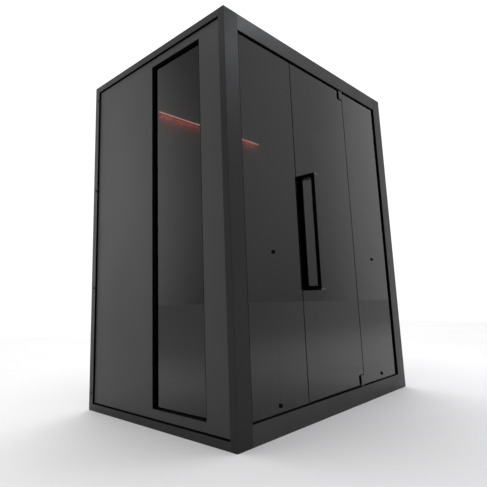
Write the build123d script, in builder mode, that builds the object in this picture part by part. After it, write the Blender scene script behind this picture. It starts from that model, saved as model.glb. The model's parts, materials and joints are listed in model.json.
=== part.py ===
"""Sauna cabin: a dark box-shaped cabin with a glazed front and one tall window in each side.

Frame: millimetres, +Z up, +X to the right of somebody who faces the front, front face towards -Y.
The origin is on the ground under the middle of the cabin's footprint.
"""
import os

from build123d import *

os.makedirs("parts", exist_ok=True)

# ---- overall sizes
cabin_width = 1700.0
cabin_depth = 1250.0
cabin_height = 2100.0

# ---- front portal, the frame round the glazed front
post_width = 100.0
portal_depth = 40.0
beam_height = 92.0
sill_height = 94.0
lining_thickness = 3.0

# ---- walls, rails and shadow grooves: the panels stand back from the rails and posts round them
wall_thickness = 60.0
rail_height = 40.0
rear_post_depth = 43.0
panel_recess = 8.0
groove_width = 8.0
groove_depth = 12.0
arris_radius = 1.5

# ---- floor and roof
floor_thickness = 60.0
roof_thickness = 16.0
roof_recess = 6.0

# ---- side windows, measured from the front face, the ground and the top
window_front_offset = 196.0
window_width = 415.0
window_sill_height = 94.0
window_head_drop = 92.0
window_glass_recess = 19.0

# ---- glazed front
glass_thickness = 8.0
front_glass_recess = 10.0
door_width = 586.0
door_gap = 6.0

# ---- glass bolts in the fixed panes
bolt_side_inset = 319.0
bolt_heights = (132.0, 869.0)
bolt_head_radius = 10.0
bolt_head_height = 5.0
bolt_shank_radius = 5.0
bolt_hole_clearance = 0.5
bolt_socket_radius = 4.0
bolt_socket_depth = 3.0

# ---- screws that hold the back wall between the rear posts
post_screw_count = 4
post_screw_end_distance = 100.0
post_screw_from_groove = 11.0
screw_recess_radius = 8.5
screw_recess_depth = 6.0
screw_head_radius = 8.0
screw_head_height = 5.0
screw_socket_radius = 3.0
screw_socket_depth = 2.5
screw_shank_radius = 3.0
screw_shank_length = 80.0
screw_hole_clearance = 0.3

# ---- door pivots
pivot_from_edge = 22.0
clamp_from_edge = 5.0
clamp_width = 40.0
clamp_height = 56.0
clamp_proud = 8.0
notch_width = 32.0
notch_height = 30.0
pin_radius = 4.0
pin_bore_clearance = 0.3
pin_engagement = 18.0
collar_radius = 8.0
collar_height = 2.0

# ---- door handles, a pair back to back
handle_length = 659.0
handle_bottom_height = 672.0
handle_from_edge = 82.0
handle_bar_width = 43.0
handle_bar_depth = 24.0
handle_foot_height = 24.0
handle_finger_gap = 43.0
handle_corner_radius = 9.0

# ---- light strip where the ceiling meets the back wall
light_profile_size = 14.0
light_diffuser_width = 8.0
light_diffuser_depth = 4.0
light_end_gap = 5.0
light_drop = 2.0

# ---- places that follow from the sizes above
outer_x = cabin_width / 2
inner_x = outer_x - wall_thickness
front_y = -cabin_depth / 2
portal_back_y = front_y + portal_depth
back_y = cabin_depth / 2
inner_back_y = back_y - wall_thickness
panel_x = outer_x - panel_recess
panel_back_y = back_y - panel_recess
side_end_y = back_y - rear_post_depth
opening_x = outer_x - post_width
beam_z = cabin_height - beam_height
top_rail_z = cabin_height - rail_height

window_front_y = front_y + window_front_offset
window_back_y = window_front_y + window_width
window_top_z = cabin_height - window_head_drop

glass_front_y = front_y + front_glass_recess
glass_back_y = glass_front_y + glass_thickness
glazing_x = opening_x - lining_thickness
glazing_bottom_z = sill_height + lining_thickness
glazing_top_z = beam_z - lining_thickness

door_x = door_width / 2
door_bottom_z = glazing_bottom_z + door_gap
door_top_z = glazing_top_z - door_gap
fixed_glass_x = door_x + door_gap
pivot_x = door_x - pivot_from_edge
pivot_y = glass_front_y + glass_thickness / 2

screw_y = side_end_y + post_screw_from_groove
screw_pitch = (cabin_height - 2 * post_screw_end_distance) / (post_screw_count - 1)
screw_places = [(screw_y, post_screw_end_distance + i * screw_pitch) for i in range(post_screw_count)]
screw_seat_x = outer_x - screw_recess_depth


def middle(span):
    return (span[0] + span[1]) / 2


def length(span):
    return abs(span[1] - span[0])


def block(x_span, y_span, z_span, mode=Mode.ADD):
    """A plain rectangular block between the given limits, inside the part being built."""
    with BuildSketch(Plane.XY.offset(z_span[0])) as base:
        with Locations((middle(x_span), middle(y_span))):
            Rectangle(length(x_span), length(y_span))
    extrude(base.sketch, amount=z_span[1] - z_span[0], mode=mode)


def finish(name, piece):
    """Label a finished piece and write it under its own name."""
    piece.part.label = name
    export_step(piece.part, f"parts/{name}.step")


def screw_rods(side, from_x, reach, radius, mode=Mode.ADD):
    """One rod at each post screw on a side, from from_x outwards, or inwards where reach is negative."""
    with BuildSketch(Plane.YZ.offset(side * from_x)) as section:
        with Locations(*screw_places):
            Circle(radius)
    extrude(section.sketch, amount=side * reach, mode=mode)


def slab(name, x_span, y_span, z_span):
    with BuildPart() as piece:
        block(x_span, y_span, z_span)
    finish(name, piece)


# ---- floor, ceiling and roof lie between the walls
room_x = (-inner_x, inner_x)
room_y = (portal_back_y, inner_back_y)
roof_top_z = cabin_height - roof_recess
ceiling_top_z = roof_top_z - roof_thickness
slab("floor_panel", room_x, room_y, (0, floor_thickness))
slab("ceiling_panel", room_x, room_y, (top_rail_z, ceiling_top_z))
slab("roof_panel", room_x, room_y, (ceiling_top_z, roof_top_z))

# ---- front portal: full-height corner posts with a beam and a sill between them
portal_y = (front_y, portal_back_y)


def corner_post(name, side, x_width, y_span, screwed=False):
    """A full-height post with a softened edge at the cabin's corner, bored for the screws of a rear post."""
    outer_face_y = y_span[0] if abs(y_span[0]) > abs(y_span[1]) else y_span[1]
    with BuildPart() as post:
        block((side * outer_x, side * (outer_x - x_width)), y_span, (0, cabin_height))
        corner = post.edges().filter_by(Axis.Z).sort_by_distance((side * outer_x, outer_face_y, 0))
        fillet(corner[0], radius=arris_radius)
        if screwed:
            bore_radius = screw_shank_radius + screw_hole_clearance
            screw_rods(side, outer_x, -screw_recess_depth, screw_recess_radius, Mode.SUBTRACT)
            screw_rods(side, outer_x, -x_width, bore_radius, Mode.SUBTRACT)
    finish(name, post)


for side_name, side in (("left", -1), ("right", 1)):
    corner_post(f"front_{side_name}_post", side, post_width, portal_y)
slab("front_beam", (-opening_x, opening_x), portal_y, (beam_z, cabin_height))
slab("front_sill", (-opening_x, opening_x), portal_y, (0, sill_height))

# ---- black lining round the front opening: the long bars stand between the short ones
slab("portal_lining_top", (-opening_x, opening_x), portal_y, (glazing_top_z, beam_z))
slab("portal_lining_bottom", (-opening_x, opening_x), portal_y, (sill_height, glazing_bottom_z))
for side_name, side in (("left", -1), ("right", 1)):
    lining_x = (side * glazing_x, side * opening_x)
    slab(f"portal_lining_{side_name}", lining_x, portal_y, (glazing_bottom_z, glazing_top_z))

# ---- fixed panes beside the door, each drilled for two glass bolts
glass_y = (glass_front_y, glass_back_y)
bolt_x = outer_x - bolt_side_inset
for side_name, side in (("left", -1), ("right", 1)):
    with BuildPart() as pane:
        pane_x = (side * fixed_glass_x, side * glazing_x)
        block(pane_x, glass_y, (glazing_bottom_z, glazing_top_z))
        with BuildSketch(Plane.XZ.offset(-glass_back_y)):
            with Locations(*[(side * bolt_x, height) for height in bolt_heights]):
                Circle(bolt_shank_radius + bolt_hole_clearance)
        extrude(amount=glass_thickness, mode=Mode.SUBTRACT)
    finish(f"{side_name}_fixed_glass", pane)

with BuildPart() as bolts:
    bolt_places = [(side * bolt_x, height) for side in (-1, 1) for height in bolt_heights]
    with BuildSketch(Plane.XZ.offset(-glass_back_y - bolt_head_height)):
        with Locations(*bolt_places):
            Circle(bolt_shank_radius)
    extrude(amount=glass_thickness + 2 * bolt_head_height)
    for head_back_y in (glass_front_y, glass_back_y + bolt_head_height):
        with BuildSketch(Plane.XZ.offset(-head_back_y)):
            with Locations(*bolt_places):
                Circle(bolt_head_radius)
        extrude(amount=bolt_head_height)
    with BuildSketch(Plane.XZ.offset(-glass_front_y + bolt_head_height)):
        with Locations(*bolt_places):
            RegularPolygon(bolt_socket_radius, side_count=6)
    extrude(amount=-bolt_socket_depth, mode=Mode.SUBTRACT)
finish("glass_bolts", bolts)

# ---- side walls: rails and a rear post frame a wall that is split beside, over and under its window
wall_z = (rail_height, top_rail_z)
window_y = (window_front_y, window_back_y)
window_z = (window_sill_height, window_top_z)


def side_wall_piece(name, side, y_span, z_span):
    """A wall piece whose outer face is rebated along the rails and the rear post it meets."""
    skin_x = (side * panel_x, side * (panel_x - groove_depth))
    with BuildPart() as piece:
        block((side * panel_x, side * inner_x), y_span, z_span)
        if z_span[1] == top_rail_z:
            block(skin_x, y_span, (top_rail_z - groove_width, top_rail_z), mode=Mode.SUBTRACT)
        if z_span[0] == rail_height:
            block(skin_x, y_span, (rail_height, rail_height + groove_width), mode=Mode.SUBTRACT)
        if y_span[1] == side_end_y:
            block(skin_x, (side_end_y - groove_width, side_end_y), z_span, mode=Mode.SUBTRACT)
    finish(name, piece)


def window_lining(name, side):
    """The black lining of a window opening, as deep as the wall."""
    with BuildPart() as lining:
        with BuildSketch(Plane.YZ.offset(side * inner_x)):
            with Locations((middle(window_y), middle(window_z))):
                Rectangle(length(window_y), length(window_z))
                Rectangle(
                    length(window_y) - 2 * lining_thickness,
                    length(window_z) - 2 * lining_thickness,
                    mode=Mode.SUBTRACT,
                )
        extrude(amount=side * (panel_x - inner_x))
    finish(name, lining)


for side_name, side in (("left", -1), ("right", 1)):
    wall_x = (side * outer_x, side * inner_x)
    rail_y = (portal_back_y, side_end_y)
    slab(f"{side_name}_top_rail", wall_x, rail_y, (top_rail_z, cabin_height))
    slab(f"{side_name}_bottom_rail", wall_x, rail_y, (0, rail_height))
    corner_post(f"{side_name}_rear_post", side, wall_thickness, (side_end_y, back_y), screwed=True)
    side_wall_piece(f"{side_name}_front_wall", side, (portal_back_y, window_front_y), wall_z)
    side_wall_piece(f"{side_name}_rear_wall", side, (window_back_y, side_end_y), wall_z)
    side_wall_piece(f"{side_name}_window_header", side, window_y, (window_top_z, top_rail_z))
    side_wall_piece(f"{side_name}_window_apron", side, window_y, (rail_height, window_sill_height))
    window_lining(f"{side_name}_window_lining", side)
    pane_face_x = panel_x - window_glass_recess
    slab(
        f"{side_name}_window_glass",
        (side * pane_face_x, side * (pane_face_x - glass_thickness)),
        (window_front_y + lining_thickness, window_back_y - lining_thickness),
        (window_sill_height + lining_thickness, window_top_z - lining_thickness),
    )

# ---- back wall: one closed panel, framed like the sides
back_rail_y = (inner_back_y, back_y)
slab("back_top_rail", room_x, back_rail_y, (top_rail_z, cabin_height))
slab("back_bottom_rail", room_x, back_rail_y, (0, rail_height))
with BuildPart() as back_wall:
    block(room_x, (inner_back_y, panel_back_y), wall_z)
    back_skin_y = (panel_back_y - groove_depth, panel_back_y)
    block(room_x, back_skin_y, (top_rail_z - groove_width, top_rail_z), mode=Mode.SUBTRACT)
    block(room_x, back_skin_y, (rail_height, rail_height + groove_width), mode=Mode.SUBTRACT)
    for side in (-1, 1):
        groove_x = (side * inner_x, side * (inner_x - groove_width))
        block(groove_x, back_skin_y, wall_z, mode=Mode.SUBTRACT)
        bore_depth = screw_recess_depth + screw_shank_length - wall_thickness + screw_hole_clearance
        screw_rods(side, inner_x, -bore_depth, screw_shank_radius + screw_hole_clearance, Mode.SUBTRACT)
finish("back_wall", back_wall)

# ---- post screws: each head stands in its recess, and its shank runs through the post into the back wall
with BuildPart() as post_screws:
    for side in (-1, 1):
        screw_rods(side, screw_seat_x, screw_head_height, screw_head_radius)
        screw_rods(side, screw_seat_x, -screw_shank_length, screw_shank_radius)
        with BuildSketch(Plane.YZ.offset(side * (screw_seat_x + screw_head_height))) as sockets:
            with Locations(*screw_places):
                RegularPolygon(screw_socket_radius, side_count=6)
        extrude(sockets.sketch, amount=-side * screw_socket_depth, mode=Mode.SUBTRACT)
finish("post_screws", post_screws)

# ---- light strip along the top of the back wall: a channel that holds a diffuser
light_x = (-inner_x + light_end_gap, inner_x - light_end_gap)
light_y = (inner_back_y - light_profile_size, inner_back_y)
light_z = (top_rail_z - light_drop - light_profile_size, top_rail_z - light_drop)
diffuser_y = (light_y[0], light_y[0] + light_diffuser_depth)
diffuser_z = (middle(light_z) - light_diffuser_width / 2, middle(light_z) + light_diffuser_width / 2)
with BuildPart() as light_profile:
    block(light_x, light_y, light_z)
    block(light_x, diffuser_y, diffuser_z, mode=Mode.SUBTRACT)
finish("light_profile", light_profile)
slab("light_diffuser", light_x, diffuser_y, diffuser_z)

# ---- door leaf, notched at its two hinge corners for the pivot clamps
notch_x = (door_x - notch_width, door_x)
with BuildPart() as door_glass:
    block((-door_x, door_x), glass_y, (door_bottom_z, door_top_z))
    block(notch_x, glass_y, (door_bottom_z, door_bottom_z + notch_height), mode=Mode.SUBTRACT)
    block(notch_x, glass_y, (door_top_z - notch_height, door_top_z), mode=Mode.SUBTRACT)
finish("door_glass", door_glass)


def pivot_clamp(name, edge_z, inward):
    """Two cheeks joined through the glass's notch, bored for the pin. inward is +1 up, -1 down."""
    clamp_x = (door_x - clamp_from_edge - clamp_width, door_x - clamp_from_edge)
    clamp_y = (glass_front_y - clamp_proud, glass_back_y + clamp_proud)
    clamp_z = (edge_z, edge_z + inward * clamp_height)
    with BuildPart() as clamp:
        block(clamp_x, clamp_y, clamp_z)
        block(clamp_x, glass_y, clamp_z, mode=Mode.SUBTRACT)
        block((notch_x[0], clamp_x[1]), glass_y, (edge_z, edge_z + inward * notch_height))
        with BuildSketch(Plane.XY.offset(edge_z)):
            with Locations((pivot_x, pivot_y)):
                Circle(pin_radius + pin_bore_clearance)
        extrude(amount=inward * (pin_engagement + pin_bore_clearance), mode=Mode.SUBTRACT)
    finish(name, clamp)


pivot_clamp("bottom_pivot_clamp", door_bottom_z, 1)
pivot_clamp("top_pivot_clamp", door_top_z, -1)

# ---- pivot pins, fixed to the lining above and below the door
with BuildPart() as pivot_pins:
    for base_z, inward in ((glazing_bottom_z, 1), (glazing_top_z, -1)):
        for radius, reach in ((collar_radius, collar_height), (pin_radius, door_gap + pin_engagement)):
            with BuildSketch(Plane.XY.offset(base_z)):
                with Locations((pivot_x, pivot_y)):
                    Circle(radius)
            extrude(amount=inward * reach)
finish("pivot_pins", pivot_pins)

# ---- door handles: a flat bar on two feet, one outside and one inside
bar_x = (-door_x + handle_from_edge, -door_x + handle_from_edge + handle_bar_width)
handle_top_z = handle_bottom_height + handle_length


def door_handle(name, face_y, outward):
    """A squared bow of flat bar whose feet stand on the glass at face_y."""
    bar_face_y = face_y + outward * (handle_finger_gap + handle_bar_depth)
    bow_z = (handle_bottom_height, handle_top_z)
    gap_z = (handle_bottom_height + handle_foot_height, handle_top_z - handle_foot_height)
    with BuildPart() as handle:
        block(bar_x, (face_y, bar_face_y), bow_z)
        block(bar_x, (face_y, face_y + outward * handle_finger_gap), gap_z, mode=Mode.SUBTRACT)
        bow_edges = handle.edges().filter_by(Axis.X).sort_by(Axis.Y)
        outer_corners = bow_edges[:2] if outward < 0 else bow_edges[-2:]
        fillet(outer_corners, radius=handle_corner_radius)
    finish(name, handle)


door_handle("outer_handle", glass_front_y, -1)
door_handle("inner_handle", glass_back_y, 1)
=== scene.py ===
"""Looks of the sauna cabin: finishes, trim, cladding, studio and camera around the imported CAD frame.

Everything is in metres, +Z up, with the glazed front towards -Y, as in the CAD.
"""
import json
import math

import bmesh
import bpy
from mathutils import Matrix, Vector


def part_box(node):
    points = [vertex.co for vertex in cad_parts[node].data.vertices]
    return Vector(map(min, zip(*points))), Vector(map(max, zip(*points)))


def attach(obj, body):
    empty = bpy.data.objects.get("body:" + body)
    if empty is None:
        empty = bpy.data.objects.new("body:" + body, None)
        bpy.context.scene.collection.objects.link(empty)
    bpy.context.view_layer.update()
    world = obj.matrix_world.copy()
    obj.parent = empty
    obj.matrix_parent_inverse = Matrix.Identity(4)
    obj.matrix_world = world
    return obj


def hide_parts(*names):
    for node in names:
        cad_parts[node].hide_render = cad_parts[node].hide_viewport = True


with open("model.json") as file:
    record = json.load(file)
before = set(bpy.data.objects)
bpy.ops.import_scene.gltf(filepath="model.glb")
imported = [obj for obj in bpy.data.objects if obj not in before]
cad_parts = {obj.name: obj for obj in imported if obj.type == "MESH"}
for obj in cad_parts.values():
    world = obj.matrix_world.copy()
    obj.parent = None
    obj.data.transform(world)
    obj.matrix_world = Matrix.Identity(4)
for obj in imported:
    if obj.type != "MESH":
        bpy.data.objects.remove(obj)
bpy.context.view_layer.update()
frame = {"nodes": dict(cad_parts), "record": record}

# ---- places read from the frame
ROOM_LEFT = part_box("left_rear_wall")[1].x
ROOM_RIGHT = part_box("right_rear_wall")[0].x
ROOM_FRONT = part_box("front_beam")[1].y
ROOM_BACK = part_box("back_wall")[0].y
ROOM_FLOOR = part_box("floor_panel")[1].z
ROOM_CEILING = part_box("ceiling_panel")[0].z
CABIN_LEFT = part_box("left_rear_post")[0].x
CABIN_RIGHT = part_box("right_rear_post")[1].x
CABIN_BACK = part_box("left_rear_post")[1].y
REAR_POST_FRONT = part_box("left_rear_post")[0].y
PANEL_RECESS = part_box("left_rear_wall")[0].x - CABIN_LEFT
RAIL_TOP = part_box("left_bottom_rail")[1].z
RAIL_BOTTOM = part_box("left_top_rail")[0].z

# ---- sizes of what is added here
GROOVE_WIDTH = 0.008
GROOVE_DEPTH = 0.012
SHADE_LINER_THICKNESS = 0.0012
SHADE_LINER_SETBACK = 0.001
BOARD_PITCH = 0.095
BOARD_GAP = 0.003
BOARD_THICKNESS = 0.010
CEILING_SHADOW_GAP = 0.020
CASING_WIDTH = 0.030
CASING_THICKNESS = 0.004
BEAD_WIDTH = 0.010
BEAD_DEPTH = 0.012
LENS_PROUD = 0.005
SEAL_THICKNESS = 0.0012
SEAL_CLAMP_GAP = 0.002
THINNEST_BOARD = 0.012
ROOF_BEAD_WIDTH = 0.007
ROOF_BEAD_RISE = 0.004
ROOF_BEAD_SHOULDER = (0.005, 0.0025)
ROOF_SCREW_INSET = 0.022
ROOF_SCREW_RADIUS = 0.0055
ROOF_SCREW_RISE = 0.003

# ---- radii of softened edges
EDGE_RADIUS = {
    "frame_paint": 0.0008, "panel": 0.0006, "tinted_glass": 0.0006, "black_metal": 0.0009,
    "black_lining": 0.0004, "light_red": 0.0004,
}
BOARD_EDGE_RADIUS = 0.002
CASING_EDGE_RADIUS = 0.0015
SEAL_EDGE_RADIUS = 0.0003
WELD_DISTANCE = 0.00001
SHARP_ANGLE = math.radians(50)

# ---- the studio floor: how far off it turns grey in front and to the left, a painted shade, so that the glass
# mirrors no bright horizon
FLOOR_TILE = 7.5
FLOOR_GREY_NEAR = 1.4
FLOOR_GREY_FAR = 4.4
FLOOR_GREY_LEFT_NEAR = 1.6
FLOOR_GREY_LEFT_FAR = 3.2
FLOOR_PAINTED_SHADE_GREY = (0.55, 0.55, 0.555)


# ---- helpers for node materials
def start_material(name):
    """A new node material: returns it with its node tree and its Principled shader."""
    material = bpy.data.materials.new(name)
    material.use_nodes = True
    tree = material.node_tree
    return material, tree, tree.nodes["Principled BSDF"]


def place_texture(tree, stretch):
    """Object coordinates stretched by three factors, as the input of a texture."""
    coordinates = tree.nodes.new("ShaderNodeTexCoord")
    mapping = tree.nodes.new("ShaderNodeMapping")
    mapping.inputs["Scale"].default_value = stretch
    tree.links.new(coordinates.outputs["Object"], mapping.inputs["Vector"])
    return mapping.outputs["Vector"]


def noise(tree, stretch, scale, detail=3.0, roughness=0.5):
    """A noise texture in object coordinates."""
    texture = tree.nodes.new("ShaderNodeTexNoise")
    texture.inputs["Scale"].default_value = scale
    texture.inputs["Detail"].default_value = detail
    texture.inputs["Roughness"].default_value = roughness
    tree.links.new(place_texture(tree, stretch), texture.inputs["Vector"])
    return texture.outputs["Fac"]


def remap(tree, value, low, high, from_low=0.3, from_high=0.7):
    """A value's range from from_low to from_high, spread over the range from low to high."""
    mapper = tree.nodes.new("ShaderNodeMapRange")
    mapper.inputs["From Min"].default_value = from_low
    mapper.inputs["From Max"].default_value = from_high
    mapper.inputs["To Min"].default_value = low
    mapper.inputs["To Max"].default_value = high
    tree.links.new(value, mapper.inputs["Value"])
    return mapper.outputs["Result"]


def blend_colours(tree, factor, dark, light):
    """A colour between dark and light, by a factor from 0 to 1."""
    mix = tree.nodes.new("ShaderNodeMix")
    mix.data_type = "RGBA"
    mix.inputs["A"].default_value = (*dark, 1)
    mix.inputs["B"].default_value = (*light, 1)
    tree.links.new(factor, mix.inputs["Factor"])
    return mix.outputs["Result"]


def add_bump(tree, shader, height, strength, distance):
    """A fine surface relief, from a texture's height."""
    bump = tree.nodes.new("ShaderNodeBump")
    bump.inputs["Strength"].default_value = strength
    bump.inputs["Distance"].default_value = distance
    tree.links.new(height, bump.inputs["Height"])
    tree.links.new(bump.outputs["Normal"], shader.inputs["Normal"])


EVEN = (1, 1, 1)


def grain_stretch(along, ratio):
    """Texture stretch that draws streaks along one axis."""
    return tuple(1 / ratio if axis == along else 1.0 for axis in "xyz")


# ---- finishes
# by the direction of a bar: how much lighter its base colour is painted, a painted sheen, and its specular
# level
BAR_PAINTED_SHEEN_AND_SPECULAR = {"x": (1.9, 0.62), "y": (1.0, 0.50), "z": (1.0, 0.30)}
PAINT_DARK = (0.005, 0.005, 0.0055)
PAINT_LIGHT = (0.008, 0.008, 0.0085)
BLACK_DARK = (0.0015, 0.0015, 0.0015)
BLACK_LIGHT = (0.003, 0.003, 0.003)


def frame_paint(along):
    """Satin charcoal metal with a fine brushed grain that runs along the bar; the x bars' base colour is
    painted lighter as sheen.
    """
    painted_sheen_gain, sheen = BAR_PAINTED_SHEEN_AND_SPECULAR[along]
    material, tree, shader = start_material(f"frame_paint_along_{along}")
    streaks = noise(tree, grain_stretch(along, 60), 900, 2, 0.6)
    clouds = noise(tree, EVEN, 6, 3)
    # the x bars get a lighter base colour here: a painted sheen on the same paint
    dark = tuple(painted_sheen_gain * channel for channel in PAINT_DARK)
    light = tuple(painted_sheen_gain * channel for channel in PAINT_LIGHT)
    tone = blend_colours(tree, remap(tree, streaks, 0, 1), dark, light)
    tree.links.new(tone, shader.inputs["Base Color"])
    tree.links.new(remap(tree, clouds, 0.40, 0.46), shader.inputs["Roughness"])
    shader.inputs["Specular IOR Level"].default_value = sheen
    shader.inputs["Anisotropic"].default_value = 0.75
    direction = tree.nodes.new("ShaderNodeCombineXYZ")
    direction.inputs["XYZ".index(along.upper())].default_value = 1.0
    tree.links.new(direction.outputs["Vector"], shader.inputs["Tangent"])
    add_bump(tree, shader, streaks, 0.05, 0.0002)
    return material


def wall_panel():
    """Charcoal laminate with a very fine matt texture and slight clouding."""
    material, tree, shader = start_material("wall_panel")
    clouds = noise(tree, EVEN, 2.5, 4)
    grit = noise(tree, EVEN, 1400, 2)
    tone = blend_colours(tree, remap(tree, clouds, 0, 1), (0.008, 0.008, 0.0085), (0.012, 0.012, 0.0125))
    tree.links.new(tone, shader.inputs["Base Color"])
    tree.links.new(remap(tree, clouds, 0.46, 0.52), shader.inputs["Roughness"])
    shader.inputs["Specular IOR Level"].default_value = 0.62
    add_bump(tree, shader, grit, 0.12, 0.0002)
    return material


def black_trim():
    """Dead matt black, for linings, beads and the liners of the shadow grooves, where it is painted shade.
    """
    material, tree, shader = start_material("black_trim")
    grit = noise(tree, EVEN, 900, 2)
    tone = blend_colours(tree, remap(tree, grit, 0, 1), BLACK_DARK, BLACK_LIGHT)
    tree.links.new(tone, shader.inputs["Base Color"])
    tree.links.new(remap(tree, grit, 0.75, 0.85), shader.inputs["Roughness"])
    shader.inputs["Specular IOR Level"].default_value = 0.05
    add_bump(tree, shader, grit, 0.2, 0.0002)
    return material


def tinted_glass():
    """Dark grey glass, mirror smooth, with the faintest haze of wiping marks."""
    material, tree, shader = start_material("tinted_glass")
    smears = noise(tree, (1, 1, 0.25), 9, 4)
    tone = blend_colours(tree, remap(tree, smears, 0, 1), (0.034, 0.033, 0.032), (0.040, 0.039, 0.038))
    tree.links.new(tone, shader.inputs["Base Color"])
    tree.links.new(remap(tree, smears, 0.0, 0.02, 0.5, 0.8), shader.inputs["Roughness"])
    shader.inputs["IOR"].default_value = 1.5
    shader.inputs["Transmission Weight"].default_value = 1.0
    return material


def gloss_black():
    """Polished black enamel on the handles and clamps, almost a mirror, with faint wiping marks."""
    material, tree, shader = start_material("gloss_black")
    smears = noise(tree, (1, 1, 0.3), 30, 3)
    tone = blend_colours(tree, remap(tree, smears, 0, 1), (0.0008, 0.0008, 0.0009), (0.0016, 0.0016, 0.0017))
    tree.links.new(tone, shader.inputs["Base Color"])
    tree.links.new(remap(tree, smears, 0.07, 0.11), shader.inputs["Roughness"])
    add_bump(tree, shader, noise(tree, EVEN, 240, 2), 0.015, 0.0002)
    return material


def matt_black_metal():
    """Blackened steel of the bolts, screws and light channel, dull and fine grained."""
    material, tree, shader = start_material("matt_black_metal")
    grit = noise(tree, EVEN, 1100, 2)
    tone = blend_colours(tree, remap(tree, grit, 0, 1), BLACK_DARK, BLACK_LIGHT)
    tree.links.new(tone, shader.inputs["Base Color"])
    tree.links.new(remap(tree, grit, 0.50, 0.60), shader.inputs["Roughness"])
    shader.inputs["Specular IOR Level"].default_value = 0.05
    add_bump(tree, shader, grit, 0.10, 0.0002)
    return material


def pin_steel():
    """Ground steel of the pivot pins."""
    material, tree, shader = start_material("pin_steel")
    rings = noise(tree, (1, 1, 60), 300, 2)
    tone = blend_colours(tree, remap(tree, rings, 0, 1), (0.42, 0.42, 0.43), (0.60, 0.60, 0.61))
    tree.links.new(tone, shader.inputs["Base Color"])
    tree.links.new(remap(tree, rings, 0.22, 0.34), shader.inputs["Roughness"])
    shader.inputs["Metallic"].default_value = 1.0
    return material


def stained_wood(name, along, dark, light):
    """Dark stained boards: long grain, a few broader bands and open pores."""
    material, tree, shader = start_material(name)
    fibres = noise(tree, grain_stretch(along, 25), 160, 5, 0.65)
    bands = noise(tree, grain_stretch(along, 9), 22, 3)
    grain = tree.nodes.new("ShaderNodeMath")
    grain.operation = "MULTIPLY_ADD"
    grain.inputs[1].default_value = 0.6
    tree.links.new(fibres, grain.inputs[0])
    tree.links.new(remap(tree, bands, 0.0, 0.4), grain.inputs[2])
    tone = blend_colours(tree, remap(tree, grain.outputs[0], 0, 1, 0.25, 0.75), dark, light)
    tree.links.new(tone, shader.inputs["Base Color"])
    tree.links.new(remap(tree, fibres, 0.45, 0.65), shader.inputs["Roughness"])
    add_bump(tree, shader, fibres, 0.25, 0.0006)
    return material


def red_light():
    """Frosted diffuser lit red from behind, a touch uneven between its diodes."""
    material, tree, shader = start_material("red_light")
    diodes = noise(tree, EVEN, 60, 1)
    glow = blend_colours(tree, remap(tree, diodes, 0, 1), (1.0, 0.42, 0.38), (1.0, 0.47, 0.43))
    shader.inputs["Base Color"].default_value = (0.03, 0.02, 0.02, 1)
    tree.links.new(glow, shader.inputs["Emission Color"])
    shader.inputs["Emission Strength"].default_value = 12.0
    tree.links.new(remap(tree, diodes, 0.4, 0.6), shader.inputs["Roughness"])
    return material


def studio_floor():
    """Pale, almost even studio floor, with painted shade that greys it a few metres in front and to the
    left.
    """
    material, tree, shader = start_material("studio_floor")
    clouds = noise(tree, EVEN, 0.6, 3)
    pale = blend_colours(tree, remap(tree, clouds, 0, 1), (0.76, 0.755, 0.765), (0.80, 0.795, 0.805))
    place = tree.nodes.new("ShaderNodeSeparateXYZ")
    tree.links.new(place_texture(tree, EVEN), place.inputs["Vector"])
    in_front = remap(tree, place.outputs["Y"], 1, 0, -FLOOR_GREY_FAR, -FLOOR_GREY_NEAR)
    to_the_left = remap(tree, place.outputs["X"], 1, 0, -FLOOR_GREY_LEFT_FAR, -FLOOR_GREY_LEFT_NEAR)
    distance = tree.nodes.new("ShaderNodeMath")
    distance.operation = "MAXIMUM"
    for i, side in enumerate((in_front, to_the_left)):
        side.node.interpolation_type = "SMOOTHSTEP"
        tree.links.new(side, distance.inputs[i])
    # the grey mixed in here is painted shade on the floor
    tone = tree.nodes.new("ShaderNodeMix")
    tone.data_type = "RGBA"
    tone.inputs["B"].default_value = (*FLOOR_PAINTED_SHADE_GREY, 1)
    tree.links.new(distance.outputs[0], tone.inputs["Factor"])
    tree.links.new(pale, tone.inputs["A"])
    tree.links.new(tone.outputs["Result"], shader.inputs["Base Color"])
    shader.inputs["Roughness"].default_value = 0.8
    shader.inputs["Specular IOR Level"].default_value = 0.15
    return material


# ---- which finish each part takes
GRAIN_OF_FRAME = {
    "front_beam": "x", "front_sill": "x", "back_top_rail": "x", "back_bottom_rail": "x",
    "left_top_rail": "y", "left_bottom_rail": "y", "right_top_rail": "y", "right_bottom_rail": "y",
    "front_left_post": "z", "front_right_post": "z", "left_rear_post": "z", "right_rear_post": "z",
}
PAINT = {along: frame_paint(along) for along in "xyz"}
BLACK_TRIM = black_trim()
WOOD_DARK = (0.010, 0.007, 0.0055)
WOOD_LIGHT = (0.030, 0.021, 0.016)
WALL_WOOD = {along: stained_wood(f"wall_boards_{along}", along, WOOD_DARK, WOOD_LIGHT) for along in "xyz"}
FINISH = {
    "panel": wall_panel(),
    "black_lining": BLACK_TRIM,
    "tinted_glass": tinted_glass(),
    "black_metal": matt_black_metal(),
    "pin_steel": pin_steel(),
    "floor_board": WALL_WOOD["y"],
    "ceiling_board": WALL_WOOD["x"],
    "light_red": red_light(),
}
GLOSS_BLACK = gloss_black()
POLISHED_NODES = ("outer_handle", "inner_handle", "bottom_pivot_clamp", "top_pivot_clamp")


def dress_frame():
    """Gives every CAD node its finish, and a softened edge where the real piece has one."""
    for part in frame["record"]["subparts"]:
        node = frame["nodes"][part["node"]]
        slot = part["material_slot"]
        if slot == "frame_paint":
            finish = PAINT[GRAIN_OF_FRAME[node.name]]
        elif node.name in POLISHED_NODES:
            finish = GLOSS_BLACK
        else:
            finish = FINISH[slot]
        for material_slot in node.material_slots:
            material_slot.link = "OBJECT"
            material_slot.material = finish
        if slot in EDGE_RADIUS:
            soften_edges(node, EDGE_RADIUS[slot])


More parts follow.
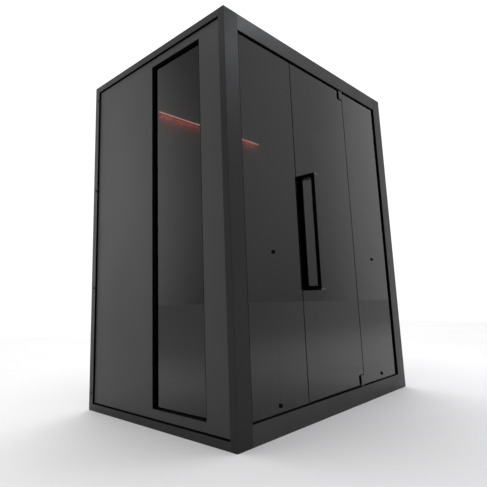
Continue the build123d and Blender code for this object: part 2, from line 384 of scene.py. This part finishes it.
def soften_edges(piece, radius):
    """Small rounded edges, with the flat faces still shaded flat."""
    weld = piece.modifiers.new("weld", "WELD")
    weld.merge_threshold = WELD_DISTANCE
    bevel = piece.modifiers.new("soft edges", "BEVEL")
    bevel.width = radius
    bevel.segments = 2
    bevel.limit_method = "ANGLE"
    bevel.angle_limit = SHARP_ANGLE
    normals = piece.modifiers.new("flat faces", "WEIGHTED_NORMAL")
    normals.weight = 100


# ---- helpers for new pieces
def new_piece(name, mesh_maker, material, body="cabin"):
    """A piece from a bmesh, with its material and the body it rides on."""
    mesh = bpy.data.meshes.new(name)
    mesh_maker.normal_update()
    mesh_maker.to_mesh(mesh)
    mesh_maker.free()
    piece = bpy.data.objects.new(name, mesh)
    bpy.context.scene.collection.objects.link(piece)
    mesh.materials.append(material)
    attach(piece, body)
    return piece


def add_block(shape, low, high):
    """A closed block between two corners, added to a bmesh."""
    corners = [
        shape.verts.new((x, y, z))
        for z in (low[2], high[2]) for y in (low[1], high[1]) for x in (low[0], high[0])
    ]
    for face in ((0, 2, 3, 1), (4, 5, 7, 6), (0, 1, 5, 4), (1, 3, 7, 5), (3, 2, 6, 7), (2, 0, 4, 6)):
        shape.faces.new([corners[i] for i in face])


# the inward normals of a rectangle's runs, from its lower left corner round
RECTANGLE_INWARD = ((0, 1), (-1, 0), (0, -1), (1, 0))


def sweep_mitred(shape, corners, inward, profile, to_world, closed):
    """Sweeps a profile along a path of square corners, mitred, as one closed solid.

    corners are points in the path's plane, inward the inward normal of each run, and profile the
    points (across, deep). to_world turns a plane point and a depth into a place in the scene.
    """
    rings = []
    for i, corner in enumerate(corners):
        before = inward[i - 1] if closed or i > 0 else (0, 0)
        after = inward[i] if i < len(inward) else (0, 0)
        lean = (before[0] + after[0], before[1] + after[1])
        ring = [
            shape.verts.new(to_world(corner[0] + across * lean[0], corner[1] + across * lean[1], deep))
            for across, deep in profile
        ]
        rings.append(ring)
    count = len(profile)
    runs = len(rings) if closed else len(rings) - 1
    for i in range(runs):
        here, there = rings[i], rings[(i + 1) % len(rings)]
        for j in range(count):
            shape.faces.new((here[j], there[j], there[(j + 1) % count], here[(j + 1) % count]))
    if not closed:
        shape.faces.new(rings[0])
        shape.faces.new(rings[-1])
    bmesh.ops.recalc_face_normals(shape, faces=shape.faces)


# ---- near-black liners in the shadow grooves: painted shade that deepens the grooves
def groove_profile():
    """A U-shaped section as (across, deep) points, whose longer leg also lines the panel's step."""
    thick = SHADE_LINER_THICKNESS
    width = GROOVE_WIDTH
    near = SHADE_LINER_SETBACK
    panel_near = PANEL_RECESS + SHADE_LINER_SETBACK
    far = PANEL_RECESS + GROOVE_DEPTH
    return [
        (0, near), (thick, near), (thick, far - thick), (width - thick, far - thick),
        (width - thick, panel_near), (width, panel_near), (width, far), (0, far),
    ]


def make_groove_shade_liners():
    """Three runs on each side wall, which end at the portal's post, and a closed loop on the back."""
    # each liner is a near-black sheet that paints the groove's shade
    for name, face_x, inwards in (("left", CABIN_LEFT, 1), ("right", CABIN_RIGHT, -1)):
        shape = bmesh.new()
        path = [
            (ROOM_FRONT, RAIL_TOP), (REAR_POST_FRONT, RAIL_TOP),
            (REAR_POST_FRONT, RAIL_BOTTOM), (ROOM_FRONT, RAIL_BOTTOM),
        ]

        def side_place(y, z, deep, face_x=face_x, inwards=inwards):
            return (face_x + inwards * deep, y, z)

        sweep_mitred(shape, path, RECTANGLE_INWARD[:3], groove_profile(), side_place, False)
        new_piece(f"{name}_groove_shade_liner", shape, BLACK_TRIM)
    shape = bmesh.new()
    path = [
        (ROOM_LEFT, RAIL_TOP), (ROOM_RIGHT, RAIL_TOP),
        (ROOM_RIGHT, RAIL_BOTTOM), (ROOM_LEFT, RAIL_BOTTOM),
    ]

    def back_place(x, z, deep):
        return (x, CABIN_BACK - deep, z)

    sweep_mitred(shape, path, RECTANGLE_INWARD, groove_profile(), back_place, True)
    new_piece("back_groove_shade_liner", shape, BLACK_TRIM)


# ---- boards that clad the room
def board_rows(low, high):
    """The height of each board between two levels, on one pitch from the floor up."""
    rows = []
    level = ROOM_FLOOR
    while level < high:
        bottom = max(level, low)
        top = min(level + BOARD_PITCH - BOARD_GAP, high)
        if top - bottom > THINNEST_BOARD:
            rows.append((bottom, top))
        level += BOARD_PITCH
    return rows


def clad(name, low, high, along):
    """Horizontal boards that fill a shallow box against a wall."""
    shape = bmesh.new()
    for bottom, top in board_rows(low[2], high[2]):
        add_block(shape, (low[0], low[1], bottom), (high[0], high[1], top))
    piece = new_piece(name, shape, WALL_WOOD[along])
    soften_edges(piece, BOARD_EDGE_RADIUS)


def make_cladding():
    """Boards on the back wall, and on each side wall in front of and behind the window."""
    bottom = ROOM_FLOOR + BOARD_THICKNESS
    top = ROOM_CEILING - CEILING_SHADOW_GAP
    clad(
        "back_cladding",
        (ROOM_LEFT + BOARD_THICKNESS, ROOM_BACK - BOARD_THICKNESS, bottom),
        (ROOM_RIGHT - BOARD_THICKNESS, ROOM_BACK, top),
        "x",
    )
    for side in ("left", "right"):
        wall_x = ROOM_LEFT if side == "left" else ROOM_RIGHT - BOARD_THICKNESS
        window_low, window_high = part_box(f"{side}_window_lining")
        bays = {
            "front": (ROOM_FRONT, window_low.y - CASING_WIDTH),
            "rear": (window_high.y + CASING_WIDTH, ROOM_BACK),
        }
        for bay, (near, far) in bays.items():
            low = (wall_x, near, bottom)
            high = (wall_x + BOARD_THICKNESS, far, top)
            clad(f"{side}_{bay}_cladding", low, high, "y")


def make_floor_and_ceiling_boards():
    """Long boards on the floor and under the ceiling, with open joints between them."""
    left = ROOM_LEFT + BOARD_THICKNESS
    right = ROOM_RIGHT - BOARD_THICKNESS
    count = round((right - left) / BOARD_PITCH)
    pitch = (right - left) / count
    floor = bmesh.new()
    for i in range(count):
        start = left + i * pitch + BOARD_GAP / 2
        end = left + (i + 1) * pitch - BOARD_GAP / 2
        add_block(floor, (start, ROOM_FRONT, ROOM_FLOOR), (end, ROOM_BACK, ROOM_FLOOR + BOARD_THICKNESS))
    piece = new_piece("floor_boards", floor, WALL_WOOD["y"])
    soften_edges(piece, BOARD_EDGE_RADIUS)
    ceiling = bmesh.new()
    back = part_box("light_profile")[0].y - CEILING_SHADOW_GAP
    rows = round((back - ROOM_FRONT) / BOARD_PITCH)
    depth = (back - ROOM_FRONT) / rows
    for i in range(rows):
        start = ROOM_FRONT + i * depth + BOARD_GAP / 2
        end = ROOM_FRONT + (i + 1) * depth - BOARD_GAP / 2
        low = (left, start, ROOM_CEILING - BOARD_THICKNESS)
        add_block(ceiling, low, (right, end, ROOM_CEILING))
    piece = new_piece("ceiling_boards", ceiling, WALL_WOOD["x"])
    soften_edges(piece, BOARD_EDGE_RADIUS)


def make_window_trim():
    """A wooden casing round each window inside, and a black bead that holds the glass."""
    for side, inwards in (("left", 1), ("right", -1)):
        lining_low, lining_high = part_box(f"{side}_window_lining")
        glass_low, glass_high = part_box(f"{side}_window_glass")
        room_x = ROOM_LEFT if side == "left" else ROOM_RIGHT
        glass_inner_x = glass_high.x if side == "left" else glass_low.x

        def outline(low, high):
            return [(low.y, low.z), (high.y, low.z), (high.y, high.z), (low.y, high.z)]

        def from_room_wall(y, z, deep, room_x=room_x, inwards=inwards):
            return (room_x + inwards * deep, y, z)

        def from_glass(y, z, deep, glass_inner_x=glass_inner_x, inwards=inwards):
            return (glass_inner_x + inwards * deep, y, z)

        casing = bmesh.new()
        flat = [(-CASING_WIDTH, 0), (0, 0), (0, CASING_THICKNESS), (-CASING_WIDTH, CASING_THICKNESS)]
        around_lining = outline(lining_low, lining_high)
        sweep_mitred(casing, around_lining, RECTANGLE_INWARD, flat, from_room_wall, True)
        piece = new_piece(f"{side}_window_casing", casing, WALL_WOOD["z"])
        soften_edges(piece, CASING_EDGE_RADIUS)
        bead = bmesh.new()
        section = [(0, 0), (BEAD_WIDTH, 0), (BEAD_WIDTH / 2, BEAD_DEPTH), (0, BEAD_DEPTH)]
        around_glass = outline(glass_low, glass_high)
        sweep_mitred(bead, around_glass, RECTANGLE_INWARD, section, from_glass, True)
        new_piece(f"{side}_window_bead", bead, BLACK_TRIM)


# ---- the roof sheet's edge
def make_roof_bead():
    """A bead of sealant between the roof sheet and the rails round it."""
    low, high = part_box("roof_panel")
    shape = bmesh.new()
    corners = [(low.x, low.y), (high.x, low.y), (high.x, high.y), (low.x, high.y)]
    section = [(0, 0), (ROOF_BEAD_WIDTH, 0), ROOF_BEAD_SHOULDER, (0, ROOF_BEAD_RISE)]

    def on_roof(x, y, rise):
        return (x, y, high.z + rise)

    sweep_mitred(shape, corners, RECTANGLE_INWARD, section, on_roof, True)
    new_piece("roof_sealant_bead", shape, BLACK_TRIM)


def add_dome_head(shape, x, y, base_z):
    """A low domed screw head with a flat underside and a small flat crown, as one closed solid."""
    sides = 16
    steps = 4
    crown = 0.85
    rings = []
    for i in range(steps + 1):
        lift = i / steps
        ring_radius = ROOF_SCREW_RADIUS * math.sqrt(1 - (crown * lift) ** 2)
        rings.append([
            shape.verts.new((
                x + ring_radius * math.cos(math.tau * k / sides),
                y + ring_radius * math.sin(math.tau * k / sides),
                base_z + ROOF_SCREW_RISE * lift,
            ))
            for k in range(sides)
        ])
    for below, above in zip(rings, rings[1:]):
        for k in range(sides):
            n = (k + 1) % sides
            shape.faces.new((below[k], below[n], above[n], above[k]))
    shape.faces.new(list(reversed(rings[0])))
    shape.faces.new(rings[-1])


def evenly(low, high, count):
    """A count of places from low to high, the same distance apart."""
    return [low + (high - low) * i / (count - 1) for i in range(count)]


def make_roof_screws():
    """The screws that hold the roof sheet, in one row along each of its four edges."""
    low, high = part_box("roof_panel")
    inset = ROOF_SCREW_INSET
    across = evenly(low.x + inset, high.x - inset, 6)
    along = evenly(low.y + inset, high.y - inset, 5)
    places = [(x, y) for x in across for y in (along[0], along[-1])]
    places += [(x, y) for x in (across[0], across[-1]) for y in along[1:-1]]
    shape = bmesh.new()
    for x, y in places:
        add_dome_head(shape, x, y, high.z)
    new_piece("roof_screws", shape, FINISH["black_metal"])


# ---- thin black seals on the upright edges of the front glass
def make_edge_seals():
    """A strip on each edge beside the door's gaps; the door's hinge edge has one between its clamps."""
    door_low, door_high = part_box("door_glass")
    hinge_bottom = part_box("bottom_pivot_clamp")[1].z + SEAL_CLAMP_GAP
    hinge_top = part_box("top_pivot_clamp")[0].z - SEAL_CLAMP_GAP
    left_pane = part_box("left_fixed_glass")
    right_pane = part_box("right_fixed_glass")
    runs = {
        "door_latch_seal": (door_low.x, -1, door_low.z, door_high.z, "door"),
        "door_hinge_seal": (door_high.x, 1, hinge_bottom, hinge_top, "door"),
        "left_pane_seal": (left_pane[1].x, 1, left_pane[0].z, left_pane[1].z, "cabin"),
        "right_pane_seal": (right_pane[0].x, -1, right_pane[0].z, right_pane[1].z, "cabin"),
    }
    for name, (edge, outward, bottom, top, body) in runs.items():
        face = edge + outward * SEAL_THICKNESS
        shape = bmesh.new()
        low = (min(edge, face), door_low.y, bottom)
        high = (max(edge, face), door_high.y, top)
        add_block(shape, low, high)
        piece = new_piece(name, shape, BLACK_TRIM, body)
        soften_edges(piece, SEAL_EDGE_RADIUS)


# ---- light strip
def make_light_lens():
    """The frosted diffuser as its channel holds it, with a crowned face that stands proud."""
    low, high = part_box("light_diffuser")
    steps = 8
    half_height = (high.z - low.z) / 2
    middle_z = (high.z + low.z) / 2
    outline = [(high.y, low.z), (high.y, high.z)]
    for i in range(steps + 1):
        angle = math.pi / 2 - math.pi * i / steps
        outline.append((low.y - LENS_PROUD * math.cos(angle), middle_z + half_height * math.sin(angle)))
    shape = bmesh.new()
    rings = [[shape.verts.new((x, y, z)) for y, z in outline] for x in (low.x, high.x)]
    for i in range(len(outline)):
        j = (i + 1) % len(outline)
        shape.faces.new((rings[0][i], rings[1][i], rings[1][j], rings[0][j]))
    for ring in rings:
        shape.faces.new(ring)
    bmesh.ops.recalc_face_normals(shape, faces=shape.faces)
    lens = new_piece("light_lens", shape, FINISH["light_red"])
    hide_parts("light_diffuser")


# ---- studio
def make_floor():
    """A wide floor that stops a few metres behind the cabin, where the white backdrop takes over."""
    shape = bmesh.new()
    bmesh.ops.create_grid(shape, x_segments=8, y_segments=8, size=4 * FLOOR_TILE)
    behind = []
    for tile in shape.faces:
        middle = tile.calc_center_median()
        if min(middle.x, middle.y) > 0 and max(middle.x, middle.y) > FLOOR_TILE:
            behind.append(tile)
    bmesh.ops.delete(shape, geom=behind, context="FACES")
    mesh = bpy.data.meshes.new("studio_floor")
    shape.to_mesh(mesh)
    shape.free()
    floor = bpy.data.objects.new("studio_floor", mesh)
    bpy.context.scene.collection.objects.link(floor)
    mesh.materials.append(studio_floor())


def towards(azimuth, elevation):
    """The direction at an azimuth from +Y towards +X and an elevation, both in degrees."""
    turn, rise = math.radians(azimuth), math.radians(elevation)
    return Vector((math.sin(turn) * math.cos(rise), math.cos(turn) * math.cos(rise), math.sin(rise)))


# each glow of the dome: its middle, the cosines where it starts and where it is full, its strength
DOME_BASE = 0.18
BACKDROP_STRENGTH = 1.1
DOME_GLOWS = (
    (towards(46, 0), 0.20, 0.38, 0.52),
    (towards(46, 0), 0.35, 0.95, 1.15),
    (towards(0, 90), 0.60, 1.00, 1.45),
    (towards(-12, 10), 0.82, 1.00, 1.30),
    (towards(-38, 14), 0.82, 1.00, 0.20),
    (towards(145, 22), 0.78, 1.00, 0.40),
    (towards(130, 8), 0.75, 1.00, 0.15),
)


def make_world():
    """A white backdrop for the camera, and for all other rays a grey dome with broad soft glows."""
    world = bpy.data.worlds.new("studio")
    bpy.context.scene.world = world
    world.use_nodes = True
    tree = world.node_tree
    tree.nodes.clear()
    coordinates = tree.nodes.new("ShaderNodeTexCoord")
    level = None
    for middle, start, full, strength in DOME_GLOWS:
        cosine = tree.nodes.new("ShaderNodeVectorMath")
        cosine.operation = "DOT_PRODUCT"
        cosine.inputs[1].default_value = middle
        tree.links.new(coordinates.outputs["Generated"], cosine.inputs[0])
        glow = remap(tree, cosine.outputs["Value"], 0, strength, start, full)
        glow.node.interpolation_type = "SMOOTHSTEP"
        total = tree.nodes.new("ShaderNodeMath")
        total.inputs[0].default_value = DOME_BASE
        if level is not None:
            tree.links.new(level, total.inputs[0])
        tree.links.new(glow, total.inputs[1])
        level = total.outputs[0]
    dome = tree.nodes.new("ShaderNodeBackground")
    dome.inputs["Color"].default_value = (1, 1, 1, 1)
    tree.links.new(level, dome.inputs["Strength"])
    backdrop = tree.nodes.new("ShaderNodeBackground")
    backdrop.inputs["Color"].default_value = (1, 1, 1, 1)
    backdrop.inputs["Strength"].default_value = BACKDROP_STRENGTH
    path = tree.nodes.new("ShaderNodeLightPath")
    mix = tree.nodes.new("ShaderNodeMixShader")
    tree.links.new(path.outputs["Is Camera Ray"], mix.inputs["Fac"])
    tree.links.new(dome.outputs["Background"], mix.inputs[1])
    tree.links.new(backdrop.outputs["Background"], mix.inputs[2])
    output = tree.nodes.new("ShaderNodeOutputWorld")
    tree.links.new(mix.outputs["Shader"], output.inputs["Surface"])


def add_softbox(name, place, aim, width, height, radiance):
    """A rectangular area light that faces aim, with an even radiance over its face, and returns it."""
    data = bpy.data.lights.new(name, "AREA")
    data.shape = "RECTANGLE"
    data.size = width
    data.size_y = height
    data.energy = radiance * width * height * math.pi
    box = bpy.data.objects.new(name, data)
    bpy.context.scene.collection.objects.link(box)
    box.location = place
    box.rotation_euler = (Vector(aim) - Vector(place)).to_track_quat("-Z", "Y").to_euler()
    return box


# softboxes that face straight down: place, width, height, radiance, colour
WHITE = (1.0, 1.0, 1.0)
COOL_WHITE = (0.88, 0.92, 1.0)
SOFTBOXES = {
    "overhead_softbox": ((-1.0, 0.4, 4.5), 2.4, 3.2, 1.3, WHITE),
    "front_softbox": ((1.0, -2.6, 4.5), 2.0, 2.6, 0.5, WHITE),
    "backdrop_softbox": ((6.0, 6.5, 5.5), 9.0, 9.0, 0.4, WHITE),
    "beam_end_softbox": ((1.8, -2.4, 4.4), 0.7, 1.0, 8.5, COOL_WHITE),
    "rail_end_softbox": ((-3.3, 1.4, 4.5), 1.4, 1.4, 1.5, WHITE),
}
GLOW_PLACE = (0, ROOM_BACK - 0.035, ROOM_CEILING - 0.012)
GLOW_AIM = (0, ROOM_BACK, ROOM_CEILING - 0.07)
GLOW_LENGTH = 1.5
GLOW_WIDTH = 0.01
GLOW_RADIANCE = 1400
GLOW_SPREAD = math.radians(130)
GLOW_COLOUR = (1.0, 0.09, 0.07)


def make_lights():
    """The studio's softboxes, and the red light that the strip throws on the boards round it."""
    for name, (place, width, height, radiance, colour) in SOFTBOXES.items():
        box = add_softbox(name, place, (place[0], place[1], 0), width, height, radiance)
        box.data.color = colour
    glow = add_softbox("strip_glow", GLOW_PLACE, GLOW_AIM, GLOW_LENGTH, GLOW_WIDTH, GLOW_RADIANCE)
    glow.data.spread = GLOW_SPREAD
    glow.data.color = GLOW_COLOUR
    glow.visible_camera = False
    glow.visible_glossy = False
    glow.visible_transmission = False


# the camera: its place, its turns in degrees, its lens in millimetres and its shift
CAMERA_PLACE = (-2.2963, -2.0182, 0.6556)
CAMERA_YAW = 46.38
CAMERA_PITCH = 10.24
CAMERA_ROLL = -1.91
CAMERA_SENSOR = 36
CAMERA_LENS = 32.76
CAMERA_SHIFT_X = 0.0230
CAMERA_SHIFT_Y = -0.0567


def make_camera():
    """The low three-quarter view, turned from +Y towards +X, tipped up and slightly rolled."""
    data = bpy.data.cameras.new("camera")
    data.sensor_width = CAMERA_SENSOR
    data.lens = CAMERA_LENS
    data.shift_x = CAMERA_SHIFT_X
    data.shift_y = CAMERA_SHIFT_Y
    data.clip_end = 200
    yaw = math.radians(CAMERA_YAW)
    roll = math.radians(CAMERA_ROLL)
    forward = towards(CAMERA_YAW, CAMERA_PITCH)
    level_right = Vector((math.cos(yaw), -math.sin(yaw), 0))
    level_up = level_right.cross(forward)
    right = math.cos(roll) * level_right + math.sin(roll) * level_up
    up = math.cos(roll) * level_up - math.sin(roll) * level_right
    camera = bpy.data.objects.new("camera", data)
    bpy.context.scene.collection.objects.link(camera)
    turn = Matrix((right, up, -forward)).transposed()
    camera.matrix_world = Matrix.Translation(CAMERA_PLACE) @ turn.to_4x4()
    bpy.context.scene.camera = camera


make_camera()
dress_frame()
make_groove_shade_liners()
make_cladding()
make_floor_and_ceiling_boards()
make_window_trim()
make_light_lens()
make_edge_seals()
make_roof_bead()
make_roof_screws()
make_floor()
make_world()
make_lights()
bpy.context.scene.view_settings.view_transform = "Standard"

bpy.context.view_layer.update()
